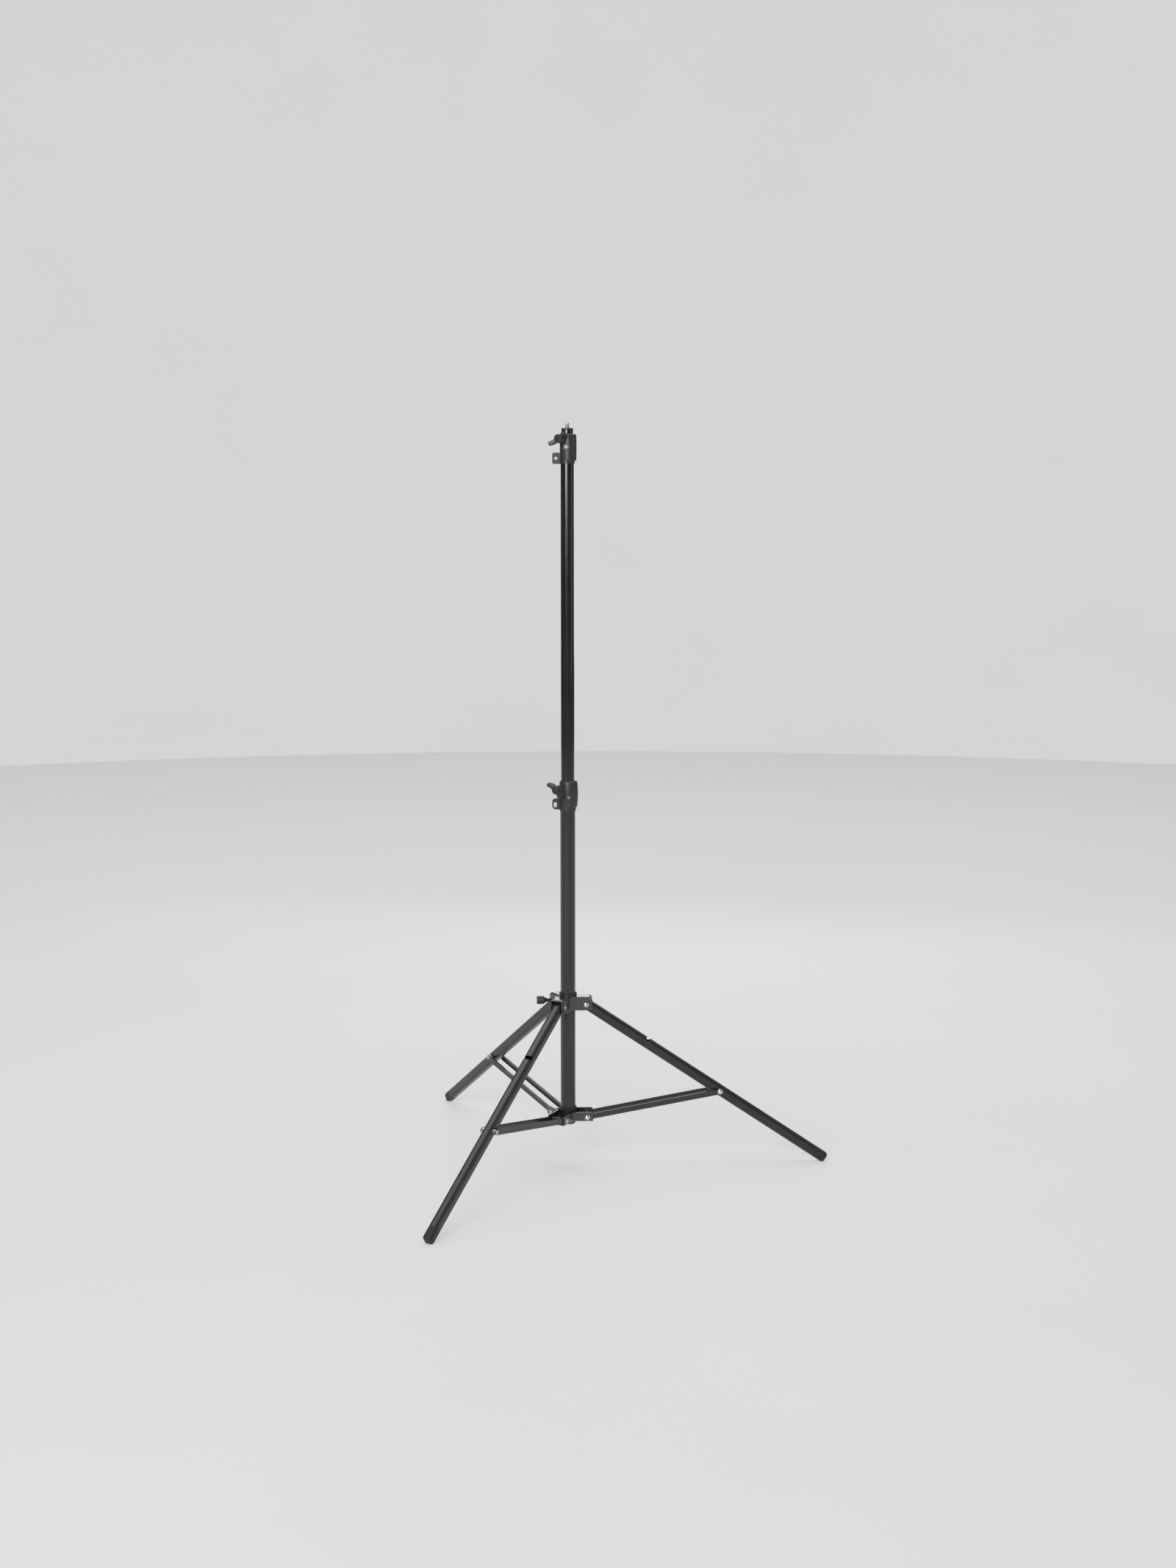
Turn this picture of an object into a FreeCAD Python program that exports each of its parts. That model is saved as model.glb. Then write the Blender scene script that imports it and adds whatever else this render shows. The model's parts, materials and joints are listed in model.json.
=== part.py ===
"""Folding three-section light stand: tripod base, two clamp collars, telescoping column.

Frame: millimetres, +Z up, origin on the floor at the middle of the footprint.
The stand is drawn set up: legs spread, second section raised, third section pushed down.
Everything is drawn with the column on the Z axis, and moved to its place as it is saved.
Each arm (leg, its brace and its two clevises) is drawn once along +X and turned about Z.
"""
import FreeCAD, Part
import math
import os

from FreeCAD import Placement, Rotation, Vector

# ---- Driving dimensions ------------------------------------------------------------------

# The column's axis, measured from the middle of the footprint's box
COLUMN_X = -107.6

# Column tubes
TUBE_WALL = 1.0
BASE_TUBE_R = 12.5
SECOND_TUBE_R = 11.0
THIRD_TUBE_R = 9.5
BASE_TUBE_BOTTOM = 74.0
BASE_TUBE_TOP = 632.0
SECOND_TUBE_BOTTOM = 578.0
SECOND_TUBE_TOP = 1203.0
THIRD_TUBE_BOTTOM = 629.0
THIRD_TUBE_TOP = 1226.0

# Clearances
RUNNING = 0.05
MOVING_GAP = 0.4

# Small chamfers and edge rounds on turned pieces
EDGE_BREAK = 0.6

# How far cutting tools overshoot what they cut
THROUGH = 10.0

# Arms: the right leg's arm lies along +X
ARM_AZIMUTHS = {"right": 0.0, "back": 120.0, "front": 240.0}
LEG_SPREAD_DEG = 56.25
LEG_LENGTH = 490.0
LEG_TO_BRACE = 272.0
LEG_WIDTH = 16.0
LEG_DEPTH = 17.5
LEG_CORNER_R = 5.5
LEG_WALL = 1.2
NOTCH_ALONG = 122.0
NOTCH_R = 4.0
FOOT_LENGTH = 24.0
FOOT_PLUG_LENGTH = 16.0
FOOT_END_R = 5.0
FOOT_FLAT_DEPTH = 0.4

# Pressed hubs: bend round the web, inside corners between arms, rounded arm ends
BEND_R = 2.6
HUB_INSIDE_R = 6.0
HUB_TOP_END_R = 6.0
LOW_TOP_END_R = 3.0
BOTTOM_END_R = 3.0

# Sliding hub
HUB_PIVOT_R = 30.0
HUB_SHEET = 2.0
HUB_CLEVIS_GAP = 19.0
HUB_TOP = 13.2
HUB_BOTTOM = -9.5
HUB_REACH = 40.4
HUB_RING_R = 17.0
HUB_RING_RISE = 6.5
LOCK_SCREW_R = 3.0
LOCK_SCREW_RISE = 6.0
LOCK_NUT_ACROSS_FLATS = 10.0
LOCK_NUT_HEIGHT = 5.0
KNOB_R = 6.7
KNOB_START = 40.0
KNOB_END = 52.4
KNOB_NECK_START = 35.5
KNOB_NECK_R = 3.9
KNOB_NECK_WIDE_R = 5.0
KNOB_EDGE_R = 1.4
KNOB_FLUTES = 10
KNOB_FLUTE_R = 1.1
SCREW_BEDDED_SHORT = 3.0

# Fixed lower hub
LOW_PIVOT_R = 32.0
LOW_PIVOT_Z = 84.0
LOW_SHEET = 1.8
LOW_CLEVIS_GAP = 27.8
LOW_TOP = 9.0
LOW_BOTTOM = -6.8
LOW_REACH = 42.0
LOW_RING_R = 14.3
LOW_RING_TOP = 100.0

# Braces: two channel bars on each side of the leg
BAR_HEIGHT = 9.0
BAR_SHEET = 1.2
BAR_INNER = 10.5
BAR_OUTER = 13.5
BAR_TONGUE = 7.0
BAR_TONGUE_R = 4.5
BEAD_WIDTH = 3.0
BEAD_DEPTH = 0.4

# Rivets: a domed head at one end, a hollow turned-over tail at the other
RIVET_R = 2.5
RIVET_HEAD_R = 4.6
RIVET_HEAD_HEIGHT = 2.2
RIVET_TAIL_R = 3.6
RIVET_TAIL_HEIGHT = 1.0
RIVET_BORE_R = 1.6
RIVET_BORE_DEPTH = 1.6
SPACER_R = 4.2

# Clamp collars: (bottom, top) heights; each clamps the thinner tube above the thicker one
MIDDLE_COLLAR_BOTTOM = 604.5
MIDDLE_COLLAR_TOP = 654.5
UPPER_COLLAR_BOTTOM = 1172.5
UPPER_COLLAR_TOP = 1219.5
COLLAR_SHOULDER = 0.3
BUSH_WALL = 1.35
BUSH_FLANGE_HEIGHT = 0.4
CLAMP_SCREW_R = 3.0
CLAMP_BOSS_R = 6.8
CLAMP_INSERT_R = 4.5
CLAMP_PAD_R = 3.4
PAD_SLACK = 0.1
PAD_DEPTH = 0.9
PAD_GAP = 0.3
GRIP_GAP = 1.0
SCREW_END_COVER = 3.0
BARREL_EDGE = 1.5
SKIRT_WALL = 1.1
BOSS_RISE = 3.5
BOSS_EDGE_R = 1.2
GRIP_HUB_R = 7.8
GRIP_HUB_TAPER = 1.0
GRIP_LENGTH = 11.0
GRIP_EDGE_R = 1.4
WING_SPAN = 18.5
WING_THICKNESS = 5.0
WING_ROOT = 0.8
WING_SHOULDER = (1.6, 14.0)
WING_TIP_START = 10.0
WING_TIP_END = 15.2
WING_TIP_DROP = 1.5
WING_TIP_R = 2.0
FIXING_SCREW_R = 2.0
FIXING_HEAD_R = 3.0
FIXING_HEAD_HEIGHT = 1.8
FIXING_SEAT_DEPTH = 1.6
FIXING_SOCKET_R = 1.5
FIXING_SOCKET_DEPTH = 1.2
FIXING_BOSS_R = 5.2
FIXING_BOSS_RISE = 3.8

# Accessory lugs on the collars' -X side
LUG_THICKNESS = 4.0
UPPER_LUG_REACH = 24.4
UPPER_LUG_BOTTOM = 1172.0
UPPER_LUG_TOP = 1190.0
UPPER_LUG_CORNER_R = 2.5
UPPER_EYE_R = 2.5
UPPER_EYE_X = -18.6
UPPER_EYE_Z = 1181.0
MIDDLE_LUG_REACH = 25.6
MIDDLE_LUG_BOTTOM = 606.5
MIDDLE_LUG_TOP = 625.0
MIDDLE_LUG_CORNER_R = 6.0
MIDDLE_SLOT_X = -20.7
MIDDLE_SLOT_Z = 614.2
MIDDLE_SLOT_WIDTH = 5.2
MIDDLE_SLOT_HEIGHT = 8.0
MIDDLE_SLOT_CORNER_R = 1.2

# Guide bushes on the lower ends of the two sliding tubes
GUIDE_WALL = 1.2
GUIDE_RING_HEIGHT = 4.0
GUIDE_PLUG_HEIGHT = 14.0

# Foot of the column
PLUG_DEPTH = 8.0
PLUG_HEAD = 3.0
PLUG_WALL = 2.0
PLUG_EDGE_R = 1.5

# Top fitting: a 1/4 inch stud on the third tube's cap
STUD_R = 3.175
STUD_SHANK_R = 2.8
STUD_SHANK_LENGTH = 13.0
STUD_HEIGHT = 9.0
CAP_HEIGHT = 3.0
CAP_PLUG_DEPTH = 14.0

# ---- Sizes worked out from the driving ones ----------------------------------------------

SPREAD = math.radians(LEG_SPREAD_DEG)
HUB_PIVOT_Z = (
    (LEG_LENGTH - FOOT_END_R) * math.cos(SPREAD)
    + (LEG_DEPTH / 2 - FOOT_END_R) * math.sin(SPREAD)
    + FOOT_END_R
    - FOOT_FLAT_DEPTH
)
JOINT_R = HUB_PIVOT_R + LEG_TO_BRACE * math.sin(SPREAD)
JOINT_Z = HUB_PIVOT_Z - LEG_TO_BRACE * math.cos(SPREAD)
BRACE_LENGTH = math.hypot(JOINT_R - LOW_PIVOT_R, JOINT_Z - LOW_PIVOT_Z)
BRACE_RISE_DEG = math.degrees(math.asin((JOINT_Z - LOW_PIVOT_Z) / BRACE_LENGTH))
HUB_SLEEVE_R = HUB_RING_R - HUB_SHEET - 0.3

X_AXIS = Vector(1, 0, 0)
Y_AXIS = Vector(0, 1, 0)
Z_AXIS = Vector(0, 0, 1)
ORIGIN = Vector(0, 0, 0)

parts = {}


# ---- Helpers -----------------------------------------------------------------------------

def moved(shape, x=0.0, y=0.0, z=0.0):
    """A copy of shape moved by x, y, z."""
    copy = shape.copy()
    copy.translate(Vector(x, y, z))
    return copy


def turned(shape, axis, degrees):
    """A copy of shape turned about an axis through the origin."""
    copy = shape.copy()
    copy.rotate(ORIGIN, axis, degrees)
    return copy


def at_azimuth(shape, degrees, z=0.0):
    """A shape drawn along +X, turned about Z and lifted to z."""
    return moved(turned(shape, Z_AXIS, degrees), z=z)


def tube(outer_r, inner_r, bottom, top):
    """A tube about Z."""
    outer = Part.makeCylinder(outer_r, top - bottom, Vector(0, 0, bottom))
    return outer.cut(Part.makeCylinder(inner_r, top - bottom, Vector(0, 0, bottom)))


def rod(radius, start, end, axis=X_AXIS):
    """A round bar about an axis through the origin, from start to end along it."""
    return Part.makeCylinder(radius, end - start, axis * start, axis)


def block(x0, x1, y0, y1, z0, z1):
    """A box between two corners."""
    return Part.makeBox(x1 - x0, y1 - y0, z1 - z0, Vector(x0, y0, z0))


def long_edges(shape, axis, test=lambda centre: True):
    """The straight edges of shape along axis whose middle passes test."""
    found = []
    for edge in shape.Edges:
        if not isinstance(edge.Curve, (Part.Line, Part.LineSegment)):
            continue
        direction = edge.tangentAt(edge.FirstParameter)
        if abs(abs(direction.dot(axis)) - 1) < 1e-6 and test(edge.CenterOfMass):
            found.append(edge)
    return found


def rounded_block(x0, x1, width, depth, corner_r):
    """A bar along X with a rounded rectangular section centred on the X axis."""
    bar = block(x0, x1, -width / 2, width / 2, -depth / 2, depth / 2)
    return bar.makeFillet(corner_r, long_edges(bar, X_AXIS))


def rivet_head():
    """A rivet's domed head, seated on y = 0 and facing -Y."""
    rise = RIVET_HEAD_HEIGHT
    ball_r = (RIVET_HEAD_R ** 2 + rise ** 2) / (2 * rise)
    ball = Part.makeSphere(ball_r, Vector(0, ball_r - rise, 0))
    return ball.common(rod(RIVET_HEAD_R, -rise, 0, Y_AXIS))


def rivet_tail():
    """A rivet's turned-over tail, seated on y = 0 and facing +Y."""
    tail = rod(RIVET_TAIL_R, 0, RIVET_TAIL_HEIGHT, Y_AXIS)
    rim = [e for e in tail.Edges if abs(e.CenterOfMass.y - RIVET_TAIL_HEIGHT) < 0.01]
    return tail.makeFillet(EDGE_BREAK, rim)


def rivet_bore(seat):
    """The hollow in a rivet's tail end, for a tail seated on y = seat."""
    return rod(RIVET_BORE_R, seat - RIVET_BORE_DEPTH, seat + RIVET_TAIL_HEIGHT + 1, Y_AXIS)


def rivet(half_grip, centre):
    """A rivet along Y through centre, its head at -Y and its tail at +Y of the grip."""
    whole = rod(RIVET_R, -half_grip, half_grip, Y_AXIS)
    whole = whole.fuse(moved(rivet_head(), y=-half_grip))
    whole = whole.fuse(moved(rivet_tail(), y=half_grip))
    whole = whole.cut(rivet_bore(half_grip))
    return moved(whole, centre.x, centre.y, centre.z)


def three_arms(shape):
    """One compound of shape repeated at the three arms."""
    return Part.makeCompound([turned(shape, Z_AXIS, a) for a in ARM_AZIMUTHS.values()])


# ---- Pressed hubs ------------------------------------------------------------------------

def end_corner(reach, half_width, height, radius, upward):
    """What rounding an arm's outer end takes away, at its top (upward 1) or bottom (upward -1)."""
    centre_x = reach - radius
    centre_z = height - upward * radius
    low, high = sorted((centre_z, height + upward))
    corner = block(centre_x, reach + 1, -half_width - 1, half_width + 1, low, high)
    round_part = rod(radius, -half_width - 2, half_width + 2, Y_AXIS)
    return corner.cut(moved(round_part, centre_x, 0, centre_z))


def star(half_width, ring_r, reach, z0, z1, blend_r, bend_z=None):
    """A three-armed star plate with blended inside corners, and a rounded bend round one face."""
    body = Part.makeCylinder(ring_r, z1 - z0, Vector(0, 0, z0))
    for azimuth in ARM_AZIMUTHS.values():
        arm = block(0, reach, -half_width, half_width, z0, z1)
        body = body.fuse(turned(arm, Z_AXIS, azimuth))
    body = body.removeSplitter()
    inside = long_edges(body, Z_AXIS, lambda c: math.hypot(c.x, c.y) < ring_r + half_width / 3)
    body = body.makeFillet(blend_r, inside)
    if bend_z is None:
        return body
    rim = []
    for edge in body.Edges:
        box = edge.BoundBox
        at_end = math.hypot(edge.CenterOfMass.x, edge.CenterOfMass.y) > reach - 0.1
        if abs(box.ZMin - bend_z) < 0.01 and abs(box.ZMax - bend_z) < 0.01 and not at_end:
            rim.append(edge)
    return body.makeFillet(BEND_R, rim)


def rounded_ends(body, half_width, reach, z0, z1, top_r, bottom_r):
    """The star with the outer ends of its arms rounded as seen from the side."""
    for azimuth in ARM_AZIMUTHS.values():
        for height, radius, upward in ((z1, top_r, 1), (z0, bottom_r, -1)):
            corner = end_corner(reach, half_width, height, radius, upward)
            body = body.cut(turned(corner, Z_AXIS, azimuth))
    return body


def hub_spider():
    """The sliding hub: a pressed three-arm channel, open below, with a clevis on each arm."""
    half_gap = HUB_CLEVIS_GAP / 2
    half_width = half_gap + HUB_SHEET
    outer = star(half_width, HUB_RING_R, HUB_REACH, HUB_BOTTOM, HUB_TOP, HUB_INSIDE_R, HUB_TOP)
    outer = rounded_ends(outer, half_width, HUB_REACH, HUB_BOTTOM, HUB_TOP, HUB_TOP_END_R, BOTTOM_END_R)
    inner_top = HUB_TOP - HUB_SHEET
    inside_r = HUB_INSIDE_R + HUB_SHEET
    reach = HUB_REACH + THROUGH
    hollow = star(half_gap, HUB_RING_R - HUB_SHEET, reach, HUB_BOTTOM - 1, inner_top, inside_r)
    spider = outer.cut(hollow)
    spider = spider.cut(rod(HUB_SLEEVE_R, HUB_BOTTOM, HUB_TOP + 1, Z_AXIS))
    for azimuth in ARM_AZIMUTHS.values():
        hole = moved(rod(RIVET_R, -half_width, half_width, Y_AXIS), x=HUB_PIVOT_R)
        spider = spider.cut(turned(hole, Z_AXIS, azimuth))
    screw_way = moved(rod(LOCK_SCREW_R + RUNNING, -HUB_RING_R - THROUGH, 0), z=LOCK_SCREW_RISE)
    return moved(spider.cut(screw_way), z=HUB_PIVOT_Z)


def low_spider():
    """The lower hub: a pressed three-arm channel, open above, fixed round the base tube."""
    half_gap = LOW_CLEVIS_GAP / 2
    ring = LOW_RING_R
    half_width = half_gap + LOW_SHEET
    outer = star(half_width, ring, LOW_REACH, LOW_BOTTOM, LOW_TOP, HUB_INSIDE_R, LOW_BOTTOM)
    outer = rounded_ends(outer, half_width, LOW_REACH, LOW_BOTTOM, LOW_TOP, LOW_TOP_END_R, BOTTOM_END_R)
    inner_bottom = LOW_BOTTOM + LOW_SHEET
    inside_r = HUB_INSIDE_R + LOW_SHEET
    hollow = star(half_gap, ring, LOW_REACH + THROUGH, inner_bottom, LOW_TOP + 1, inside_r)
    spider = outer.cut(hollow)
    spider = spider.cut(rod(BASE_TUBE_R, LOW_BOTTOM - 1, LOW_TOP, Z_AXIS))
    for azimuth in ARM_AZIMUTHS.values():
        hole = moved(rod(RIVET_R, -half_width, half_width, Y_AXIS), x=LOW_PIVOT_R)
        spider = spider.cut(turned(hole, Z_AXIS, azimuth))
    return moved(spider, z=LOW_PIVOT_Z)


def hexagon_nut(across_flats, bore_r, start, end):
    """A hexagonal nut about X, from start to end."""
    corner_r = across_flats / math.sqrt(3)
    points = []
    for i in range(7):
        angle = math.radians(60 * i)
        points.append(Vector(start, corner_r * math.cos(angle), corner_r * math.sin(angle)))
    prism = Part.Face(Part.makePolygon(points)).extrude(Vector(end - start, 0, 0))
    return prism.cut(rod(bore_r, start - 1, end + 1))


def make_sliding_hub():
    """The hub that slides on the base tube, with its bush, rivets and lock screw."""
    parts["hub_spider"] = hub_spider()
    lock_z = HUB_PIVOT_Z + LOCK_SCREW_RISE
    sleeve = tube(
        HUB_SLEEVE_R,
        BASE_TUBE_R + RUNNING,
        HUB_PIVOT_Z + HUB_BOTTOM,
        HUB_PIVOT_Z + HUB_TOP + HUB_RING_RISE,
    )
    top_edge = [e for e in sleeve.Edges if abs(e.CenterOfMass.z - sleeve.BoundBox.ZMax) < 0.1]
    sleeve = sleeve.makeChamfer(EDGE_BREAK, top_edge)
    screw_way = at_azimuth(rod(LOCK_SCREW_R + RUNNING, 0, HUB_RING_R), 180, lock_z)
    parts["hub_sleeve"] = sleeve.cut(screw_way)
    one = rivet(HUB_CLEVIS_GAP / 2 + HUB_SHEET, Vector(HUB_PIVOT_R, 0, HUB_PIVOT_Z))
    parts["hub_rivets"] = three_arms(one)
    nut_end = HUB_RING_R + LOCK_NUT_HEIGHT
    nut = hexagon_nut(LOCK_NUT_ACROSS_FLATS, LOCK_SCREW_R + RUNNING, HUB_RING_R - 1, nut_end)
    parts["hub_lock_nut"] = at_azimuth(nut, 180, lock_z).cut(parts["hub_spider"])

    screw_end = KNOB_END - SCREW_BEDDED_SHORT
    screw = rod(LOCK_SCREW_R, BASE_TUBE_R + MOVING_GAP, screw_end)
    parts["hub_lock_screw"] = at_azimuth(screw, 180, lock_z)
    knob = rod(KNOB_R, KNOB_START, KNOB_END)
    knob = knob.makeFillet(KNOB_EDGE_R, [e for e in knob.Edges if isinstance(e.Curve, Part.Circle)])
    neck_length = KNOB_START + 1 - KNOB_NECK_START
    neck_place = X_AXIS * KNOB_NECK_START
    neck = Part.makeCone(KNOB_NECK_R, KNOB_NECK_WIDE_R, neck_length, neck_place, X_AXIS)
    knob = knob.fuse(neck).removeSplitter()
    flute = moved(rod(KNOB_FLUTE_R, KNOB_START - 1, KNOB_END + 1), y=KNOB_R + KNOB_FLUTE_R / 2)
    for i in range(KNOB_FLUTES):
        knob = knob.cut(turned(flute, X_AXIS, 360 / KNOB_FLUTES * i))
    knob = knob.cut(rod(LOCK_SCREW_R, KNOB_NECK_START - 1, screw_end))
    parts["hub_knob"] = at_azimuth(knob, 180, lock_z)


def make_lower_hub():
    """The lower hub, its retaining ring, rivets and the spacer tubes between the brace bars."""
    parts["lower_spider"] = low_spider()
    ring_bottom = LOW_PIVOT_Z + LOW_BOTTOM + LOW_SHEET
    ring = tube(LOW_RING_R, BASE_TUBE_R, ring_bottom, LOW_RING_TOP)
    top_edge = [e for e in ring.Edges if abs(e.CenterOfMass.z - LOW_RING_TOP) < 0.1]
    parts["lower_ring"] = ring.makeChamfer(EDGE_BREAK, top_edge)
    pivot = Vector(LOW_PIVOT_R, 0, LOW_PIVOT_Z)
    parts["lower_rivets"] = three_arms(rivet(LOW_CLEVIS_GAP / 2 + LOW_SHEET, pivot))
    spacer_half = BAR_OUTER - BAR_SHEET - MOVING_GAP
    spacer = rod(SPACER_R, -spacer_half, spacer_half, Y_AXIS)
    spacer = spacer.cut(rod(RIVET_R, -spacer_half - 1, spacer_half + 1, Y_AXIS))
    parts["lower_spacers"] = three_arms(moved(spacer, pivot.x, 0, pivot.z))


# ---- Legs and braces ---------------------------------------------------------------------

def leg_place(azimuth):
    """From the leg's own frame (X towards the foot, Z outwards) to the stand's."""
    lean = Placement(Vector(HUB_PIVOT_R, 0, HUB_PIVOT_Z), Rotation(Y_AXIS, 90 - LEG_SPREAD_DEG))
    return Placement(ORIGIN, Rotation(Z_AXIS, azimuth)).multiply(lean)


def brace_place(azimuth):
    """From the brace's own frame (X towards the leg) to the stand's."""
    rise = Placement(Vector(LOW_PIVOT_R, 0, LOW_PIVOT_Z), Rotation(Y_AXIS, -BRACE_RISE_DEG))
    return Placement(ORIGIN, Rotation(Z_AXIS, azimuth)).multiply(rise)


def placed(shape, placement):
    """A copy of shape in the stand's frame."""
    return shape.transformed(placement.toMatrix(), True)


def leg_tube():
    """The leg: a rounded steel tube with a round upper end, rivet ways and a hanging notch."""
    cap_start = LEG_LENGTH - FOOT_LENGTH
    outer = rounded_block(0, cap_start, LEG_WIDTH, LEG_DEPTH, LEG_CORNER_R)
    upper = rounded_block(-LEG_DEPTH / 2, 0, LEG_WIDTH, LEG_DEPTH, LEG_CORNER_R)
    upper = upper.common(rod(LEG_DEPTH / 2, -LEG_WIDTH / 2, LEG_WIDTH / 2, Y_AXIS))
    outer = outer.fuse(upper).removeSplitter()
    wide = LEG_WIDTH - 2 * LEG_WALL
    deep = LEG_DEPTH - 2 * LEG_WALL
    hollow = rounded_block(-LEG_DEPTH, cap_start + 1, wide, deep, LEG_CORNER_R - LEG_WALL)
    leg = outer.cut(hollow)
    for along in (0, LEG_TO_BRACE):
        leg = leg.cut(moved(rod(SPACER_R, -LEG_WIDTH, LEG_WIDTH, Y_AXIS), x=along))
    notch = rod(NOTCH_R, -LEG_WIDTH, LEG_WIDTH, Y_AXIS)
    return leg.cut(moved(notch, x=NOTCH_ALONG, z=LEG_DEPTH / 2 - 1))


def leg_foot():
    """The rubber end cap: flush outside the tube, with a plug inside it."""
    cap_start = LEG_LENGTH - FOOT_LENGTH
    cap = rounded_block(cap_start, LEG_LENGTH, LEG_WIDTH, LEG_DEPTH, LEG_CORNER_R)
    end_edges = [e for e in cap.Edges if abs(e.BoundBox.XMin - LEG_LENGTH) < 0.01]
    cap = cap.makeFillet(FOOT_END_R, end_edges)
    inset = LEG_WALL + RUNNING
    plug = rounded_block(
        cap_start - FOOT_PLUG_LENGTH,
        cap_start + 1,
        LEG_WIDTH - 2 * inset,
        LEG_DEPTH - 2 * inset,
        LEG_CORNER_R - inset,
    )
    return cap.fuse(plug).removeSplitter()


def leg_bush(along, half_length):
    """A cross tube in the leg that a rivet passes through."""
    bush = rod(SPACER_R, -half_length, half_length, Y_AXIS)
    bush = bush.cut(rod(RIVET_R + RUNNING, -half_length - 1, half_length + 1, Y_AXIS))
    return moved(bush, x=along)


def channel_bar(side):
    """One brace bar: a channel open towards the leg, with flat rounded ends and a groove along it."""
    half = BAR_HEIGHT / 2
    web_inner = BAR_OUTER - BAR_SHEET
    web = block(0, BRACE_LENGTH, web_inner, BAR_OUTER, -half, half)
    for end in (0, BRACE_LENGTH):
        web = web.fuse(moved(rod(BAR_TONGUE_R, web_inner, BAR_OUTER, Y_AXIS), x=end))
    bar = web.removeSplitter()
    for z0, z1 in ((-half, BAR_SHEET - half), (half - BAR_SHEET, half)):
        bar = bar.fuse(block(BAR_TONGUE, BRACE_LENGTH - BAR_TONGUE, BAR_INNER, web_inner, z0, z1))
    bar = bar.removeSplitter()
    bar = bar.cut(rod(RIVET_R + RUNNING, 0, BAR_OUTER, Y_AXIS))
    bar = bar.cut(moved(rod(RIVET_R, 0, BAR_OUTER, Y_AXIS), x=BRACE_LENGTH))
    bead_end = 3 * BAR_TONGUE
    bead = block(bead_end, BRACE_LENGTH - bead_end, BAR_OUTER - BEAD_DEPTH, BAR_OUTER + 1,
                 -BEAD_WIDTH / 2, BEAD_WIDTH / 2)
    bar = bar.cut(bead)
    return bar if side > 0 else bar.mirror(ORIGIN, Y_AXIS)


def brace_rivet_ends():
    """The brace's share of the leg rivet: its head and its tail, each with a stub and a washer."""
    stub = rod(RIVET_R, BAR_INNER, BAR_OUTER, Y_AXIS)
    washer = rod(SPACER_R, BAR_INNER, BAR_OUTER - BAR_SHEET, Y_AXIS)
    inner = stub.fuse(washer)
    tail_end = inner.fuse(moved(rivet_tail(), y=BAR_OUTER)).cut(rivet_bore(BAR_OUTER))
    head_end = inner.mirror(ORIGIN, Y_AXIS).fuse(moved(rivet_head(), y=-BAR_OUTER))
    ends = [moved(end.removeSplitter(), x=BRACE_LENGTH) for end in (tail_end, head_end)]
    return Part.makeCompound(ends)


def make_arm(name, azimuth):
    """One leg with its foot and bushes, and its brace."""
    leg_frame = leg_place(azimuth)
    below_floor = block(-600, 600, -600, 600, -20, 0)
    foot = placed(leg_foot(), leg_frame).cut(below_floor)
    hub_bush_half = HUB_CLEVIS_GAP / 2 - MOVING_GAP
    brace_pin_half = BAR_INNER - MOVING_GAP
    parts["leg_" + name + "_tube"] = placed(leg_tube(), leg_frame)
    parts["leg_" + name + "_foot"] = foot
    parts["leg_" + name + "_hub_bush"] = placed(leg_bush(0, hub_bush_half), leg_frame)
    pin = moved(rod(SPACER_R, -brace_pin_half, brace_pin_half, Y_AXIS), x=LEG_TO_BRACE)
    parts["leg_" + name + "_brace_pin"] = placed(pin, leg_frame)

    brace_frame = brace_place(azimuth)
    for label, side in (("1", 1), ("2", -1)):
        parts["brace_" + name + "_bar_" + label] = placed(channel_bar(side), brace_frame)
    parts["brace_" + name + "_rivet"] = placed(brace_rivet_ends(), brace_frame)


# ---- Clamp collars -----------------------------------------------------------------------

class Collar:
    """The sizes of one clamp collar."""

    def __init__(self, name, bottom, top, outer_tube_r, tube_top, body_r, body_shift, bulge,
                 skirt_height, clamp_azimuth, clamp_z, grip_roll, fixing_azimuth, fixing_z):
        self.name = name
        self.bottom = bottom
        self.top = top
        self.outer_tube_r = outer_tube_r
        self.inner_tube_r = outer_tube_r - 1.5
        self.tube_top = tube_top
        self.body_r = body_r
        self.body_shift = body_shift
        self.bulge = bulge
        self.skirt_height = skirt_height
        self.clamp_azimuth = clamp_azimuth
        self.clamp_z = clamp_z
        self.grip_roll = grip_roll
        self.fixing_azimuth = fixing_azimuth
        self.fixing_z = fixing_z
        self.boss_end = body_r + BOSS_RISE
        self.grip_start = self.boss_end + GRIP_GAP
        self.bush_r = self.inner_tube_r + BUSH_WALL
        self.pad_end = self.bush_r + PAD_DEPTH
        self.insert_start = self.pad_end + PAD_GAP


MIDDLE = Collar(
    name="middle", bottom=MIDDLE_COLLAR_BOTTOM, top=MIDDLE_COLLAR_TOP,
    outer_tube_r=BASE_TUBE_R, tube_top=BASE_TUBE_TOP,
    body_r=14.0, body_shift=1.7, bulge=1.4, skirt_height=5.5,
    clamp_azimuth=220.0, clamp_z=640.5, grip_roll=-32.0,
    fixing_azimuth=275.0, fixing_z=628.0,
)
UPPER = Collar(
    name="upper", bottom=UPPER_COLLAR_BOTTOM, top=UPPER_COLLAR_TOP,
    outer_tube_r=SECOND_TUBE_R, tube_top=SECOND_TUBE_TOP,
    body_r=13.3, body_shift=1.5, bulge=0.4, skirt_height=4.0,
    clamp_azimuth=234.0, clamp_z=1211.5, grip_roll=30.0,
    fixing_azimuth=262.0, fixing_z=1198.5,
)


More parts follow.
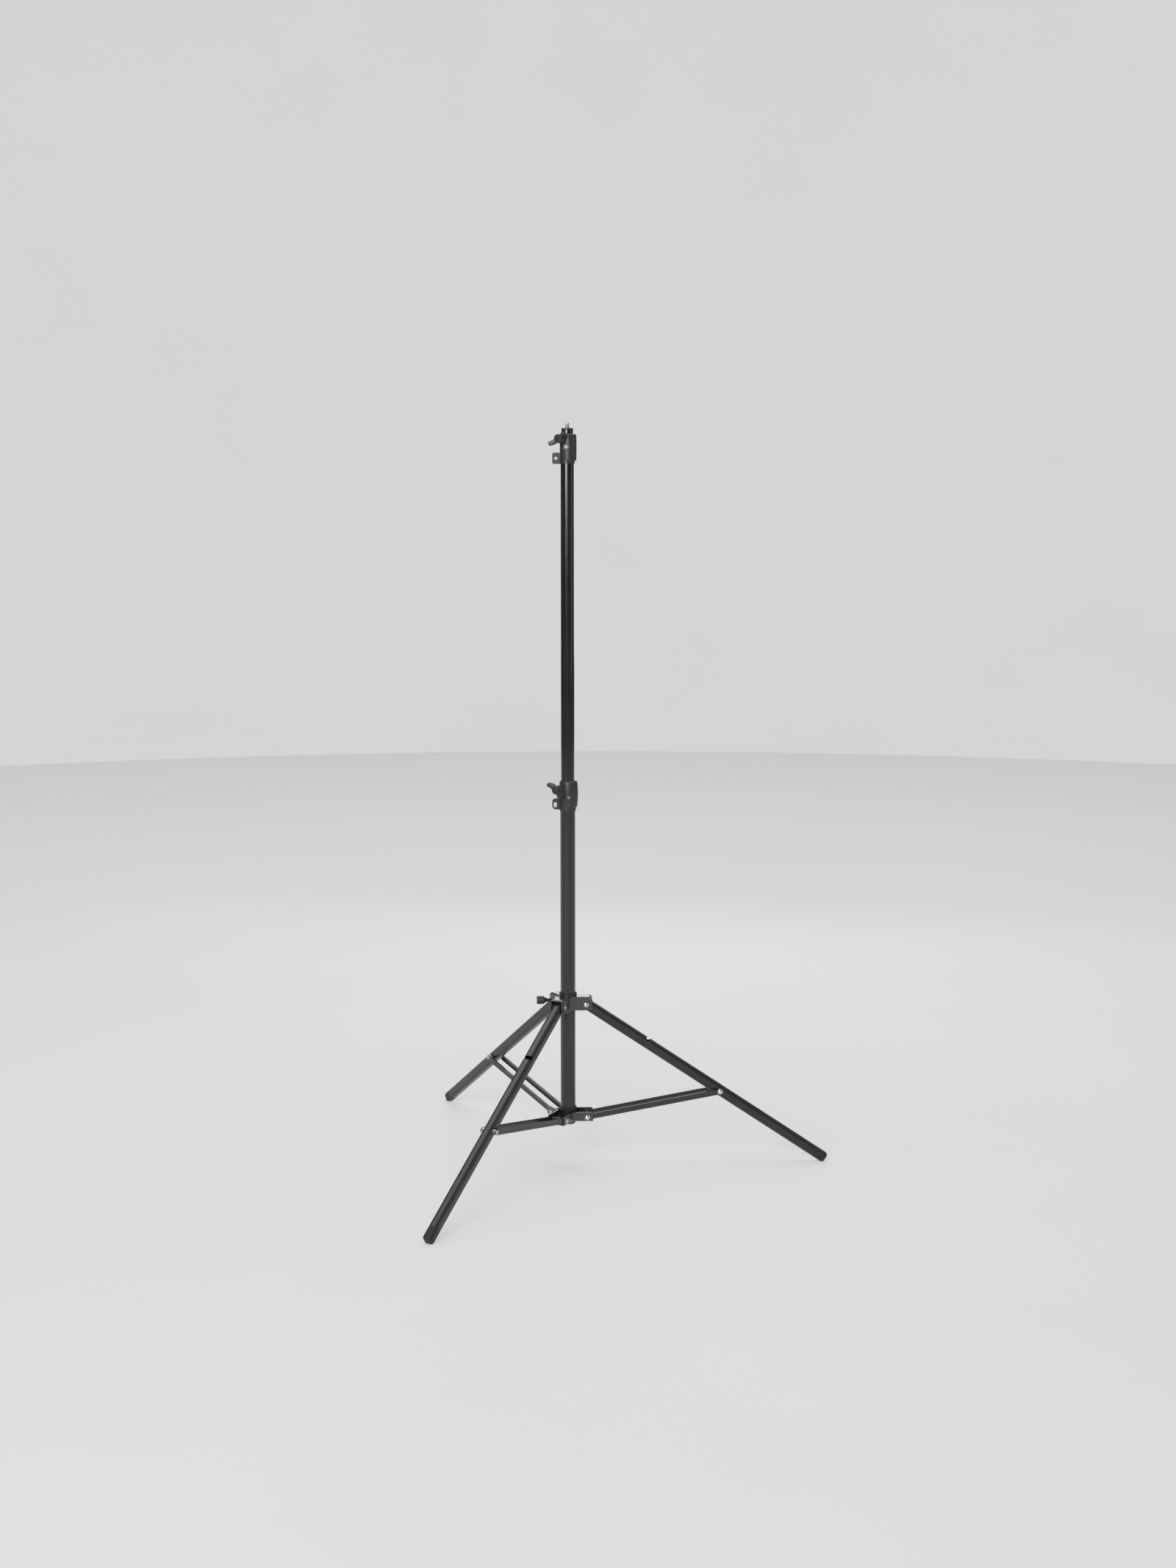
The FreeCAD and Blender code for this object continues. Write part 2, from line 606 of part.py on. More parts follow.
def collar_barrel(c):
    """The collar's barrel: a turned body with bowed sides, set off the tube's axis."""
    low = c.bottom + c.skirt_height
    middle_z = (low + c.top) / 2
    edge = BARREL_EDGE
    wide = c.body_r
    side = Part.Arc(
        Vector(wide, 0, low + edge), Vector(wide + c.bulge, 0, middle_z), Vector(wide, 0, c.top - edge)
    ).toShape()
    corners = [
        Vector(wide, 0, c.top - edge),
        Vector(wide - edge, 0, c.top),
        Vector(0, 0, c.top),
        Vector(0, 0, low),
        Vector(wide - edge, 0, low),
        Vector(wide, 0, low + edge),
    ]
    lines = [Part.LineSegment(a, b).toShape() for a, b in zip(corners, corners[1:])]
    profile = Part.Face(Part.Wire([side] + lines))
    barrel = profile.revolve(ORIGIN, Z_AXIS, 360)
    return moved(barrel, x=c.body_shift)


def accessory_lug(c):
    """The flat lug on the collar's -X side, and what its eye or slot takes out of it."""
    half = LUG_THICKNESS / 2
    if c is UPPER:
        lug = block(-UPPER_LUG_REACH, -c.outer_tube_r, -half, half, UPPER_LUG_BOTTOM, UPPER_LUG_TOP)
        corners = long_edges(lug, Y_AXIS, lambda p: p.x < 1 - UPPER_LUG_REACH)
        lug = lug.makeFillet(UPPER_LUG_CORNER_R, corners)
        eye = rod(UPPER_EYE_R, -LUG_THICKNESS, LUG_THICKNESS, Y_AXIS)
        return lug, moved(eye, x=UPPER_EYE_X, z=UPPER_EYE_Z)
    lug = block(-MIDDLE_LUG_REACH, -c.outer_tube_r, -half, half, MIDDLE_LUG_BOTTOM, MIDDLE_LUG_TOP)
    corners = long_edges(lug, Y_AXIS, lambda p: p.x < 1 - MIDDLE_LUG_REACH)
    lug = lug.makeFillet(MIDDLE_LUG_CORNER_R, corners)
    half_width = MIDDLE_SLOT_WIDTH / 2
    half_height = MIDDLE_SLOT_HEIGHT / 2
    slot = block(-half_width, half_width, -LUG_THICKNESS, LUG_THICKNESS, -half_height, half_height)
    slot = slot.makeFillet(MIDDLE_SLOT_CORNER_R, long_edges(slot, Y_AXIS))
    return lug, moved(slot, x=MIDDLE_SLOT_X, z=MIDDLE_SLOT_Z)


def collar_body(c):
    """The moulded collar: barrel, skirt, clamp boss, fixing boss and lug, bored for the tubes."""
    body = collar_barrel(c)
    body = body.fuse(rod(c.outer_tube_r + SKIRT_WALL, c.bottom, c.top - 2, Z_AXIS))
    boss = rod(CLAMP_BOSS_R, c.inner_tube_r, c.boss_end)
    outer_rim = [e for e in boss.Edges if abs(e.CenterOfMass.x - c.boss_end) < 0.01]
    boss = boss.makeFillet(BOSS_EDGE_R, outer_rim)
    body = body.fuse(at_azimuth(boss, c.clamp_azimuth, c.clamp_z))
    fixing_face = c.outer_tube_r + FIXING_BOSS_RISE
    fixing = rod(FIXING_BOSS_R, c.outer_tube_r, fixing_face)
    body = body.fuse(at_azimuth(fixing, c.fixing_azimuth, c.fixing_z))
    lug, eye = accessory_lug(c)
    body = body.fuse(lug).removeSplitter()
    body = body.cut(eye)
    body = body.cut(rod(c.outer_tube_r, c.bottom - 1, c.tube_top + COLLAR_SHOULDER, Z_AXIS))
    body = body.cut(rod(c.inner_tube_r + BUSH_WALL, c.bottom, c.top + 1, Z_AXIS))
    pad_way = rod(CLAMP_PAD_R, 0, c.insert_start)
    insert_way = rod(CLAMP_INSERT_R, c.insert_start, c.boss_end + THROUGH)
    head_seat = rod(FIXING_HEAD_R + MOVING_GAP, fixing_face - FIXING_SEAT_DEPTH, fixing_face + THROUGH)
    for way in (pad_way, insert_way):
        body = body.cut(at_azimuth(way, c.clamp_azimuth, c.clamp_z))
    for way in (head_seat, rod(FIXING_SCREW_R, 0, fixing_face)):
        body = body.cut(at_azimuth(way, c.fixing_azimuth, c.fixing_z))
    return body


def wing_plate():
    """The grip's two wings, drawn with the screw along +X and the wings along Y."""
    half = WING_THICKNESS / 2
    shoulder_x, shoulder_y = WING_SHOULDER
    neck = GRIP_LENGTH - 1
    plate = None
    for side in (1, -1):
        points = [
            Vector(WING_ROOT, 0, -half),
            Vector(WING_ROOT, side * GRIP_HUB_R, -half),
            Vector(shoulder_x, side * shoulder_y, -half),
            Vector(WING_TIP_START, side * WING_SPAN, -half),
            Vector(WING_TIP_END, side * (WING_SPAN - WING_TIP_DROP), -half),
            Vector(neck, side * GRIP_HUB_R / 2, -half),
            Vector(neck, 0, -half),
            Vector(WING_ROOT, 0, -half),
        ]
        wing = Part.Face(Part.makePolygon(points)).extrude(Vector(0, 0, WING_THICKNESS))
        tip = long_edges(wing, Z_AXIS, lambda p: abs(p.y) > WING_SPAN - 2 * WING_TIP_DROP)
        wing = wing.makeFillet(WING_TIP_R, tip)
        plate = wing if plate is None else plate.fuse(wing)
    return plate.removeSplitter()


def wing_grip(c):
    """The moulded wing grip on the clamp screw."""
    hub = Part.makeCone(GRIP_HUB_R, GRIP_HUB_R - GRIP_HUB_TAPER, GRIP_LENGTH, ORIGIN, X_AXIS)
    rim = [e for e in hub.Edges if abs(e.CenterOfMass.x - GRIP_LENGTH) < 0.01]
    hub = hub.makeFillet(GRIP_EDGE_R, rim)
    grip = hub.fuse(wing_plate()).removeSplitter()
    grip = grip.cut(rod(CLAMP_SCREW_R, -1, GRIP_LENGTH - SCREW_END_COVER))
    grip = turned(grip, X_AXIS, c.grip_roll)
    return at_azimuth(moved(grip, x=c.grip_start), c.clamp_azimuth, c.clamp_z)


def make_collar(c):
    """One clamp collar with its bush, pad, insert, screws and wing grip."""
    bore_r = c.inner_tube_r + RUNNING
    parts[c.name + "_collar"] = collar_body(c)

    bush = tube(c.bush_r, bore_r, c.tube_top + COLLAR_SHOULDER, c.top)
    flange = tube(c.bush_r + EDGE_BREAK, bore_r, c.top, c.top + BUSH_FLANGE_HEIGHT)
    bush = bush.fuse(flange).removeSplitter()
    pad_way = at_azimuth(rod(CLAMP_PAD_R + PAD_SLACK, 0, c.boss_end), c.clamp_azimuth, c.clamp_z)
    parts[c.name + "_collar_bush"] = bush.cut(pad_way)

    pad = at_azimuth(rod(CLAMP_PAD_R - PAD_SLACK, 0, c.pad_end), c.clamp_azimuth, c.clamp_z)
    parts[c.name + "_clamp_pad"] = pad.cut(rod(bore_r, c.bottom, c.top, Z_AXIS))

    insert = rod(CLAMP_INSERT_R, c.insert_start, c.boss_end)
    insert = insert.cut(rod(CLAMP_SCREW_R + RUNNING, 0, c.boss_end + 1))
    parts[c.name + "_clamp_insert"] = at_azimuth(insert, c.clamp_azimuth, c.clamp_z)

    screw = rod(CLAMP_SCREW_R, c.pad_end + MOVING_GAP, c.grip_start + GRIP_LENGTH - SCREW_END_COVER)
    parts[c.name + "_wing_screw"] = at_azimuth(screw, c.clamp_azimuth, c.clamp_z)
    parts[c.name + "_wing_grip"] = wing_grip(c)

    seat = c.outer_tube_r + FIXING_BOSS_RISE - FIXING_SEAT_DEPTH
    crown = seat + FIXING_HEAD_HEIGHT
    head = rod(FIXING_HEAD_R, seat, crown)
    rim = [e for e in head.Edges if abs(e.CenterOfMass.x - crown) < 0.01]
    shank = rod(FIXING_SCREW_R, c.outer_tube_r - TUBE_WALL + PAD_SLACK, seat)
    fixing = shank.fuse(head.makeFillet(EDGE_BREAK, rim)).removeSplitter()
    fixing = fixing.cut(rod(FIXING_SOCKET_R, crown - FIXING_SOCKET_DEPTH, crown + 1))
    parts[c.name + "_fixing_screw"] = at_azimuth(fixing, c.fixing_azimuth, c.fixing_z)


def fixing_hole(c):
    """The hole in the outer tube's wall for the collar's fixing screw."""
    return at_azimuth(rod(FIXING_SCREW_R, 0, 2 * c.outer_tube_r), c.fixing_azimuth, c.fixing_z)


# ---- Column ------------------------------------------------------------------------------

def guide_bush(tube_r, running_r, bottom):
    """The ring that guides a sliding tube's lower end inside the tube outside it."""
    inner_r = tube_r - TUBE_WALL
    bore_r = inner_r - GUIDE_WALL
    ring = tube(running_r, bore_r, bottom - GUIDE_RING_HEIGHT, bottom)
    return ring.fuse(tube(inner_r, bore_r, bottom, bottom + GUIDE_PLUG_HEIGHT)).removeSplitter()


def make_column():
    """The three tubes and their end fittings."""
    base_inner = BASE_TUBE_R - TUBE_WALL
    second_inner = SECOND_TUBE_R - TUBE_WALL
    third_inner = THIRD_TUBE_R - TUBE_WALL

    base = tube(BASE_TUBE_R, base_inner, BASE_TUBE_BOTTOM, BASE_TUBE_TOP)
    parts["base_tube"] = base.cut(fixing_hole(MIDDLE))
    plug_bottom = BASE_TUBE_BOTTOM - PLUG_HEAD
    plug = rod(BASE_TUBE_R, plug_bottom, BASE_TUBE_BOTTOM, Z_AXIS)
    plug = plug.makeFillet(PLUG_EDGE_R, [e for e in plug.Edges if abs(e.CenterOfMass.z - plug_bottom) < 0.01])
    inside = rod(base_inner, BASE_TUBE_BOTTOM, BASE_TUBE_BOTTOM + PLUG_DEPTH, Z_AXIS)
    plug = plug.fuse(inside).removeSplitter()
    hollow = rod(base_inner - PLUG_WALL, BASE_TUBE_BOTTOM, BASE_TUBE_BOTTOM + PLUG_DEPTH + 1, Z_AXIS)
    parts["base_tube_plug"] = plug.cut(hollow)

    second = tube(SECOND_TUBE_R, second_inner, SECOND_TUBE_BOTTOM, SECOND_TUBE_TOP)
    parts["second_tube"] = second.cut(fixing_hole(UPPER))
    parts["second_tube_bush"] = guide_bush(SECOND_TUBE_R, base_inner - RUNNING, SECOND_TUBE_BOTTOM)

    parts["third_tube"] = tube(THIRD_TUBE_R, third_inner, THIRD_TUBE_BOTTOM, THIRD_TUBE_TOP)
    parts["third_tube_bush"] = guide_bush(THIRD_TUBE_R, second_inner - RUNNING, THIRD_TUBE_BOTTOM)

    seat = THIRD_TUBE_TOP + CAP_HEIGHT
    cap = rod(THIRD_TUBE_R, THIRD_TUBE_TOP, seat, Z_AXIS)
    cap = cap.makeFillet(EDGE_BREAK, [e for e in cap.Edges if abs(e.CenterOfMass.z - seat) < 0.01])
    inside = rod(third_inner, THIRD_TUBE_TOP - CAP_PLUG_DEPTH, THIRD_TUBE_TOP, Z_AXIS)
    shank = rod(STUD_SHANK_R, seat - STUD_SHANK_LENGTH, seat, Z_AXIS)
    parts["top_cap"] = cap.fuse(inside).removeSplitter().cut(shank)
    tip = seat + STUD_HEIGHT
    stud = rod(STUD_R, seat, tip, Z_AXIS)
    stud = stud.makeChamfer(EDGE_BREAK, [e for e in stud.Edges if abs(e.CenterOfMass.z - tip) < 0.01])
    parts["top_stud"] = stud.fuse(shank).removeSplitter()


make_column()
make_collar(MIDDLE)
make_collar(UPPER)
make_lower_hub()
make_sliding_hub()
for arm_name, arm_azimuth in ARM_AZIMUTHS.items():
    make_arm(arm_name, arm_azimuth)

os.makedirs("parts", exist_ok=True)
for node, shape in parts.items():
    moved(shape, x=COLUMN_X).exportStep("parts/" + node + ".step")
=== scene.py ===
"""Folding three-section light stand: looks, fine detail, floor, light and camera.

Metres, +Z up, the CAD model's own frame. The column stands on the axis of base_tube.
"""

import json
import math

import bmesh
import bpy
from mathutils import Euler, Matrix, Vector


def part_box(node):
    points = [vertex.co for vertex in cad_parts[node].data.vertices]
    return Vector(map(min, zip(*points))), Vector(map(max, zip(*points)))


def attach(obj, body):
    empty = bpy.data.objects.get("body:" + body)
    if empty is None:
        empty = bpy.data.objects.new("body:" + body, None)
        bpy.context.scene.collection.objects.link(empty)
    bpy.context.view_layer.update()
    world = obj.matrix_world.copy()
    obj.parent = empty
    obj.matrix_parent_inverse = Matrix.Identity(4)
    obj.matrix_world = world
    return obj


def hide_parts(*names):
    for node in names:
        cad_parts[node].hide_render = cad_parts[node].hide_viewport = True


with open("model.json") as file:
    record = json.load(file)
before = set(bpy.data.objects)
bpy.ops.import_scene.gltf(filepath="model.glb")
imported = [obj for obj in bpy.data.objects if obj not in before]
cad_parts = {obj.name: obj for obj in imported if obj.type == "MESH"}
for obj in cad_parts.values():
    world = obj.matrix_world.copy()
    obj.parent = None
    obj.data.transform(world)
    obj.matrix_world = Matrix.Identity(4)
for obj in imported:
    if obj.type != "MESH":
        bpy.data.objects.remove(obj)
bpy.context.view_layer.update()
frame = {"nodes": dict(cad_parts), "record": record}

MM = 0.001
ARM_AZIMUTHS = {"right": 0.0, "back": 120.0, "front": 240.0}    # degrees from +X


# ---- Places read from the frame ----------------------------------------------------------

def middle(node):
    """The middle of a CAD node's box."""
    low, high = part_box(node)
    return (Vector(low) + Vector(high)) / 2


COLUMN = Vector((middle("base_tube").x, middle("base_tube").y, 0.0))


# ---- Materials ---------------------------------------------------------------------------
# A noise scale is the number of cells in a metre. Colours are linear.

WHITE = (1.0, 1.0, 1.0)
DUST = (0.30, 0.29, 0.28)
DUST_SHARE = 0.05
RUBBED_STEEL = (0.30, 0.30, 0.31)
DULLED_PLATING = (0.25, 0.25, 0.27)
DARK_SPECK = (0.12, 0.11, 0.1)
BEVEL_SAMPLES = 6
FLAT_DOT = 0.985        # the true normal times the rounded one, where a face counts as flat
EDGE_DOT = 0.86         # and where it counts wholly as an edge


class Shader:
    """A Principled material being put together."""

    def __init__(self, name):
        self.material = bpy.data.materials.new(name)
        self.material.use_nodes = True
        self.tree = self.material.node_tree
        self.tree.nodes.clear()
        self.output = self.add("ShaderNodeOutputMaterial")
        self.bsdf = self.add("ShaderNodeBsdfPrincipled")
        self.link(self.bsdf.outputs["BSDF"], self.output.inputs["Surface"])
        self.place = self.add("ShaderNodeTexCoord").outputs["Object"]

    def add(self, kind):
        """A new node."""
        return self.tree.nodes.new(kind)

    def link(self, a, b):
        """Output a into input b."""
        self.tree.links.new(a, b)

    def set(self, name, value):
        """A plain value on one of the shader's own sockets."""
        self.bsdf.inputs[name].default_value = value

    def drive(self, name, output):
        """A node's output into one of the shader's own sockets."""
        self.link(output, self.bsdf.inputs[name])

    def mapped(self, stretch, turn):
        """Object coordinates turned, then scaled on each axis."""
        spin = self.add("ShaderNodeMapping")
        spin.inputs["Rotation"].default_value = turn
        self.link(self.place, spin.inputs["Vector"])
        scale = self.add("ShaderNodeMapping")
        scale.inputs["Scale"].default_value = stretch
        self.link(spin.outputs["Vector"], scale.inputs["Vector"])
        return scale.outputs["Vector"]

    def noise(self, scale, detail=4.0, rough=0.55, stretch=(1, 1, 1), turn=(0, 0, 0)):
        """Noise from 0 to 1, mostly near the middle."""
        node = self.add("ShaderNodeTexNoise")
        node.inputs["Scale"].default_value = scale
        node.inputs["Detail"].default_value = detail
        node.inputs["Roughness"].default_value = rough
        self.link(self.mapped(stretch, turn), node.inputs["Vector"])
        return node.outputs["Fac"]

    def ramp(self, value, low=0.3, high=0.7, to_low=0.0, to_high=1.0):
        """value from low..high mapped to to_low..to_high, clamped."""
        node = self.add("ShaderNodeMapRange")
        node.inputs["From Min"].default_value = low
        node.inputs["From Max"].default_value = high
        node.inputs["To Min"].default_value = to_low
        node.inputs["To Max"].default_value = to_high
        self.link(value, node.inputs["Value"])
        return node.outputs["Result"]

    def combine(self, operation, a, b):
        """Outputs or numbers a and b under one operation. All but ADD are clamped to 0..1."""
        node = self.add("ShaderNodeMath")
        node.operation = operation
        node.use_clamp = operation != "ADD"
        for socket, value in zip(node.inputs, (a, b)):
            if isinstance(value, (int, float)):
                socket.default_value = value
            else:
                self.link(value, socket)
        return node.outputs["Value"]

    def mix(self, factor, a, b):
        """Two colours, or a colour output and a colour, mixed."""
        node = self.add("ShaderNodeMix")
        node.data_type = "RGBA"
        self.link(factor, node.inputs["Factor"])
        for name, value in (("A", a), ("B", b)):
            socket = [s for s in node.inputs if s.name == name and s.type == "RGBA"][0]
            if isinstance(value, tuple):
                socket.default_value = (*value, 1.0)
            else:
                self.link(value, socket)
        return [s for s in node.outputs if s.type == "RGBA"][0]

    def rounded_normal(self, radius):
        """The surface normal as if each edge had this radius."""
        bevel = self.add("ShaderNodeBevel")
        bevel.samples = BEVEL_SAMPLES
        bevel.inputs["Radius"].default_value = radius
        return bevel.outputs["Normal"]

    def edges(self, radius):
        """Up to 1 along edges and 0 on flat faces."""
        geometry = self.add("ShaderNodeNewGeometry")
        dot = self.add("ShaderNodeVectorMath")
        dot.operation = "DOT_PRODUCT"
        self.link(self.rounded_normal(radius), dot.inputs[0])
        self.link(geometry.outputs["Normal"], dot.inputs[1])
        return self.ramp(dot.outputs["Value"], FLAT_DOT, EDGE_DOT)

    def bumps(self, layers, edge_radius):
        """Bump layers of (height, strength, distance) over rounded-looking edges."""
        normal = self.rounded_normal(edge_radius)
        for height, strength, distance in layers:
            bump = self.add("ShaderNodeBump")
            bump.inputs["Strength"].default_value = strength
            bump.inputs["Distance"].default_value = distance
            self.link(height, bump.inputs["Height"])
            self.link(normal, bump.inputs["Normal"])
            normal = bump.outputs["Normal"]
        self.drive("Normal", normal)


def mixed(colour, amount, target=WHITE):
    """colour moved a share of the way to target."""
    return tuple(c + (t - c) * amount for c, t in zip(colour, target))


def coated_metal(name, colour, rough, coat, peel, streak, worn, turn=(0, 0, 0)):
    """Painted steel: orange peel, streaks along local Z, a little dust, edges rubbed bare."""
    edge_radius = 0.3 * MM
    s = Shader(name)
    cloud = s.noise(scale=14.0)
    streaks = s.noise(scale=420.0, stretch=(1, 1, 0.008), turn=turn)
    orange_peel = s.noise(scale=420.0, detail=2.0)
    dusty = s.ramp(s.noise(scale=90.0, detail=6.0, rough=0.7), low=0.55, high=0.8)
    motes = s.ramp(s.noise(scale=1500.0, detail=2.0), low=0.5, high=0.65)
    dust = s.combine("MULTIPLY", dusty, motes)
    chips = s.ramp(s.noise(scale=700.0, detail=5.0, rough=0.65), low=0.52, high=0.62)
    wear = s.combine("MULTIPLY", s.combine("MULTIPLY", s.edges(edge_radius), chips), worn)

    base = s.mix(s.ramp(cloud), colour, mixed(colour, amount=0.006))
    base = s.mix(s.combine("MULTIPLY", dust, DUST_SHARE), base, DUST)
    s.drive("Base Color", s.mix(wear, base, RUBBED_STEEL))

    clouded = s.ramp(cloud, to_low=rough - 0.02, to_high=rough + 0.03)
    streaked = s.ramp(streaks, low=0.4, to_high=streak)
    dulled = s.ramp(dust, low=0.0, high=1.0, to_high=0.15)
    s.drive("Roughness", s.combine("ADD", s.combine("ADD", clouded, streaked), dulled))
    s.drive("Metallic", s.ramp(wear, low=0.0, high=1.0, to_high=0.9))
    s.set("Coat Weight", coat)
    s.set("Coat Roughness", 0.1)
    s.bumps([(orange_peel, peel, 0.02 * MM), (streaks, streak, 0.01 * MM)], edge_radius)
    return s.material


def bare_metal(name, colour, rough, brushed, blotch):
    """Plated or polished steel: turned lines round local Z, fingerprints, a few dark specks."""
    s = Shader(name)
    lines = s.noise(scale=60.0, detail=6.0, rough=0.7, stretch=(1, 1, 60))
    cloud = s.noise(scale=180.0, detail=5.0)
    specks = s.ramp(s.noise(scale=1400.0, detail=2.0), low=0.68, high=0.76, to_high=0.4)

    base = s.mix(s.ramp(cloud, low=0.35), colour, mixed(colour, blotch, DULLED_PLATING))
    s.drive("Base Color", s.mix(specks, base, DARK_SPECK))

    turned = s.ramp(lines, to_low=rough - 0.04, to_high=rough + 0.1)
    smudged = s.ramp(cloud, low=0.4, high=0.8, to_high=blotch * 0.4)
    s.drive("Roughness", s.combine("ADD", turned, smudged))
    s.set("Metallic", 1.0)
    s.bumps([(lines, brushed, 0.02 * MM)], edge_radius=0.18 * MM)
    return s.material


def moulded(name, colour, rough, grain, shine, sheen=0.0):
    """Moulded plastic or rubber: fine grain, a little lint, paler and smoother edges."""
    s = Shader(name)
    cloud = s.noise(scale=30.0, detail=3.0)
    pits = s.noise(scale=2600.0, detail=3.0, rough=0.6)
    patches = s.ramp(s.noise(scale=400.0), low=0.4, high=0.6)
    edge = s.combine("MULTIPLY", s.edges(0.4 * MM), patches)
    lint = s.ramp(s.noise(scale=160.0, detail=6.0, rough=0.75), low=0.62, high=0.78)

    base = s.mix(s.ramp(cloud), colour, mixed(colour, amount=0.008))
    base = s.mix(s.combine("MULTIPLY", edge, shine), base, mixed(colour, amount=0.10))
    s.drive("Base Color", s.mix(s.combine("MULTIPLY", lint, DUST_SHARE), base, DUST))

    pitted = s.ramp(pits, to_low=rough - 0.05, to_high=rough + 0.07)
    polished = s.ramp(edge, low=0.0, high=1.0, to_high=0.12)
    s.drive("Roughness", s.combine("SUBTRACT", pitted, polished))
    s.set("Sheen Weight", sheen)
    s.bumps([(pits, grain, 0.03 * MM), (cloud, 0.1, 0.1 * MM)], edge_radius=0.35 * MM)
    return s.material


PAINTS = {
    "gloss_black_paint": dict(colour=(0.006, 0.006, 0.0065), rough=0.16, coat=0.5,
                              peel=0.1, streak=0.04, worn=0.3),
    "satin_black_paint": dict(colour=(0.010, 0.010, 0.0105), rough=0.32, coat=0.2,
                              peel=0.2, streak=0.06, worn=0.4),
    "pressed_steel_paint": dict(colour=(0.026, 0.026, 0.0265), rough=0.28, coat=0.8,
                                peel=0.2, streak=0.03, worn=0.6),
}
METALS = {
    "blackened_steel": dict(colour=(0.05, 0.05, 0.052), rough=0.34, brushed=0.2, blotch=0.1),
    "bright_steel": dict(colour=(0.80, 0.80, 0.79), rough=0.15, brushed=0.1, blotch=0.2),
    "zinc_steel": dict(colour=(0.62, 0.63, 0.66), rough=0.30, brushed=0.2, blotch=0.4),
}
MOULDINGS = {
    "black_plastic": dict(colour=(0.010, 0.010, 0.010), rough=0.40, grain=0.25, shine=0.6),
    "moulded_black_plastic": dict(colour=(0.026, 0.026, 0.0265), rough=0.36, grain=0.3, shine=0.7),
    "dark_nylon": dict(colour=(0.03, 0.03, 0.03), rough=0.35, grain=0.15, shine=0.4),
    "black_rubber": dict(colour=(0.008, 0.008, 0.008), rough=0.6, grain=0.5, shine=0.8, sheen=0.1),
}
LEG_PAINT = dict(colour=(0.010, 0.010, 0.0105), rough=0.30, coat=0.25,
                 peel=0.15, streak=0.06, worn=0.4)
BRACE_PAINT = dict(colour=(0.016, 0.016, 0.0165), rough=0.32, coat=0.3,
                   peel=0.2, streak=0.06, worn=0.5)
DULL_SCREW = dict(colour=(0.30, 0.30, 0.305), rough=0.42, brushed=0.3, blotch=0.5)

MATERIALS = {}
for maker, looks in ((coated_metal, PAINTS), (bare_metal, METALS), (moulded, MOULDINGS)):
    for finish, look in looks.items():
        MATERIALS[finish] = maker(finish, **look)

SLOT_OF = {p["node"]: p["material_slot"] for p in frame["record"]["subparts"]}


def set_material(name, material):
    """One material on every slot of a CAD node's object."""
    slots = frame["nodes"][name].data.materials
    if not slots:
        slots.append(material)
    for i in range(len(slots)):
        slots[i] = material


def tilt(node, azimuth):
    """How far a leg tube or brace bar leans from straight up, from its own box."""
    low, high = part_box(node)
    size = Vector(high) - Vector(low)
    reach = size.x / abs(math.cos(math.radians(azimuth)))
    return math.atan2(reach, size.z)


def length_to_z(azimuth, lean_out):
    """The turn that brings a length that leans out towards azimuth upright, along Z."""
    back = Matrix.Rotation(-math.radians(azimuth), 3, "Z")
    upright = Matrix.Rotation(-lean_out, 3, "Y")
    return tuple((upright @ back).to_euler())


def paint_cad_nodes():
    """Each CAD node gets its slot's material. Leg and brace paint has streaks along the piece."""
    for name, slot in SLOT_OF.items():
        set_material(name, MATERIALS[slot])
    dull_screw = bare_metal("dull_screw", **DULL_SCREW)
    for collar in ("middle", "upper"):
        set_material(collar + "_fixing_screw", dull_screw)
    for arm, azimuth in ARM_AZIMUTHS.items():
        leg = "leg_" + arm + "_tube"
        turn = length_to_z(azimuth, -tilt(leg, azimuth))
        set_material(leg, coated_metal("leg_paint_" + arm, turn=turn, **LEG_PAINT))
        bars = ["brace_" + arm + "_bar_" + side for side in "12"]
        turn = length_to_z(azimuth, tilt(bars[0], azimuth))
        paint = coated_metal("brace_paint_" + arm, turn=turn, **BRACE_PAINT)
        for bar in bars:
            set_material(bar, paint)


# ---- Meshes ------------------------------------------------------------------------------

def skin(bm, rings):
    """Smooth faces from each ring of points to the next."""
    for low, high in zip(rings, rings[1:]):
        for j in range(len(low)):
            k = (j + 1) % len(low)
            bm.faces.new((low[j], low[k], high[k], high[j])).smooth = True


def new_object(name, bm, material):
    """An object in the scene, of one material, from a finished bmesh."""
    mesh = bpy.data.meshes.new(name)
    bm.to_mesh(mesh)
    bm.free()
    mesh.materials.append(material)
    obj = bpy.data.objects.new(name, mesh)
    bpy.context.scene.collection.objects.link(obj)
    return obj


# ---- Fine detail -------------------------------------------------------------------------

POINTS_AROUND = 48
ROWS_PER_PITCH = 8
THREAD_DEPTH = 0.58     # in pitches
RUN_OUT = 0.8           # in pitches, where the thread fades out at each end
CREST_SLOPE = 1.25      # over 1 leaves a narrow flat on each crest
STUD_PITCH = 1.27 * MM
LOCK_SCREW_PITCH = 1.0 * MM
STUD_HIDDEN = 2 * MM    # of the stud's thread below the cap's top


